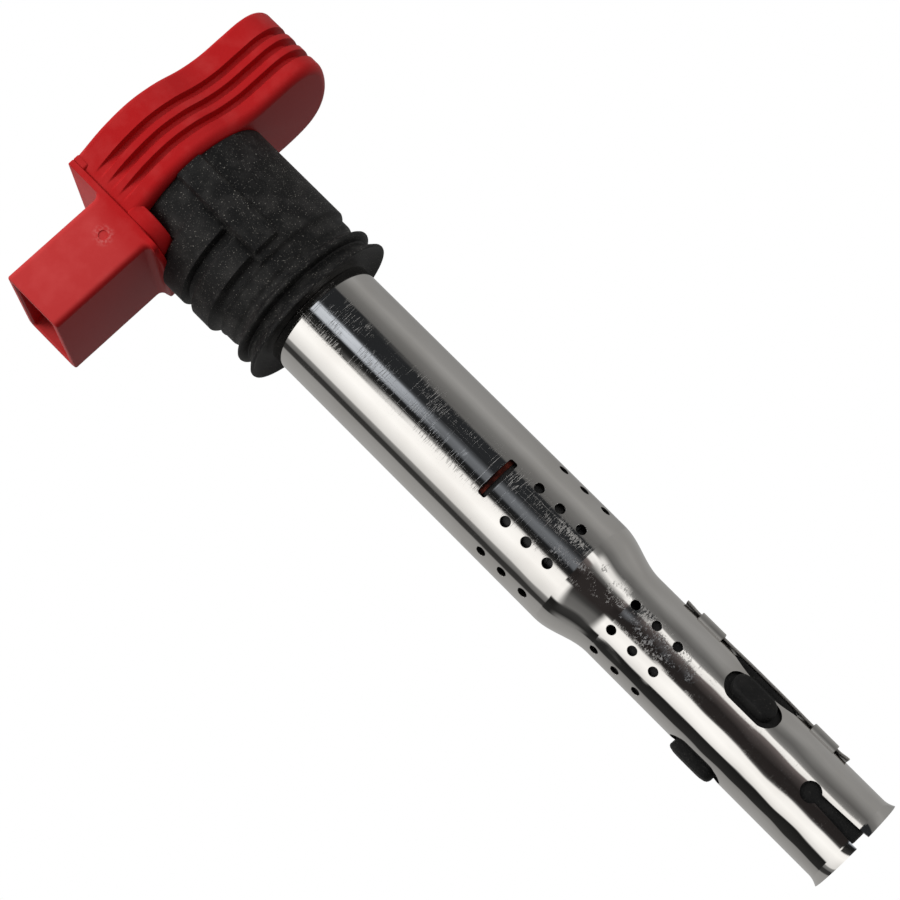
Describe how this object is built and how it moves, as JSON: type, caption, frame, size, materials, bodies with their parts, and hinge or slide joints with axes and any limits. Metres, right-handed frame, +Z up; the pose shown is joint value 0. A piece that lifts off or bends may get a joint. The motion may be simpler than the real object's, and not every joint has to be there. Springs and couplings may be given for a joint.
{
  "type": "ignition coil",
  "caption": "Pencil ignition coil with a ridged pull grip, side plug socket, rubber well seal, vented steel shield tube and a sprung contact in a rubber plug boot.",
  "frame": {"origin": "centre of the lower seal lip's plane, on the coil's axis", "axes": "+Z up along the coil's axis towards the grip, +X towards the end of the grip, the plug socket opens to -X"},
  "size_m": [0.0681, 0.0339, 0.175],
  "materials": {
    "head_plastic": "moulded glass-filled polyester, satin red",
    "tinned_terminal": "bright tin plate",
    "board_laminate": "solder-masked glass epoxy",
    "black_moulding": "moulded black epoxy or polyester",
    "heat_spreader": "stamped sheet",
    "ceramic_body": "fired, unglazed",
    "potting_resin": "cast epoxy",
    "seal_rubber": "moulded, dusty",
    "boot_rubber": "moulded silicone, semi-gloss",
    "shield_steel": "bright drawn steel with fine scratches",
    "spring_steel": "bright strip and wire",
    "copper_strip": "bare copper strip",
    "contact_brass": "pressed brass",
    "electrical_steel": "coated silicon steel",
    "bobbin_plastic": "moulded natural polyester",
    "enamelled_wire": "enamelled copper",
    "magnet": "sintered",
    "silicone_cushion": "soft silicone"
  },
  "bodies": {
    "coil": {"connector_housing": "head_plastic", "grip_cap": "head_plastic", "terminal_supply": "tinned_terminal", "terminal_trigger": "tinned_terminal", "terminal_ground": "tinned_terminal", "terminal_shield": "tinned_terminal", "circuit_board": "board_laminate", "driver_transistor": "black_moulding", "heat_spreader": "heat_spreader", "driver_chip": "black_moulding", "board_capacitors": "ceramic_body", "head_potting": "potting_resin", "seal_collar": "seal_rubber", "shield_tube": "shield_steel", "leaf_spring": "spring_steel", "earth_strip": "copper_strip", "outer_core": "electrical_steel", "coil_case": "black_moulding", "primary_bobbin": "bobbin_plastic", "primary_winding": "enamelled_wire", "primary_leads": "enamelled_wire", "secondary_bobbin": "bobbin_plastic", "secondary_winding": "enamelled_wire", "iron_core": "electrical_steel", "upper_magnet": "magnet", "lower_magnet": "magnet", "upper_cushion": "silicone_cushion", "lower_cushion": "silicone_cushion", "tube_potting": "potting_resin", "cutoff_diode": "black_moulding", "noise_resistor": "ceramic_body", "terminal_cup": "tinned_terminal", "contact_spring": "spring_steel", "plug_boot": "boot_rubber"},
    "contact": {"contact_cap": "contact_brass"}
  },
  "joints": [
    {"name": "contact_slide", "type": "slide", "parent": "coil", "child": "contact", "axis": [0, 0, 1], "range_m": [0, 0.004], "stiffness_N_per_m": 1500, "springref_m": -0.003, "deforming": ["contact_spring"]}
  ]
}
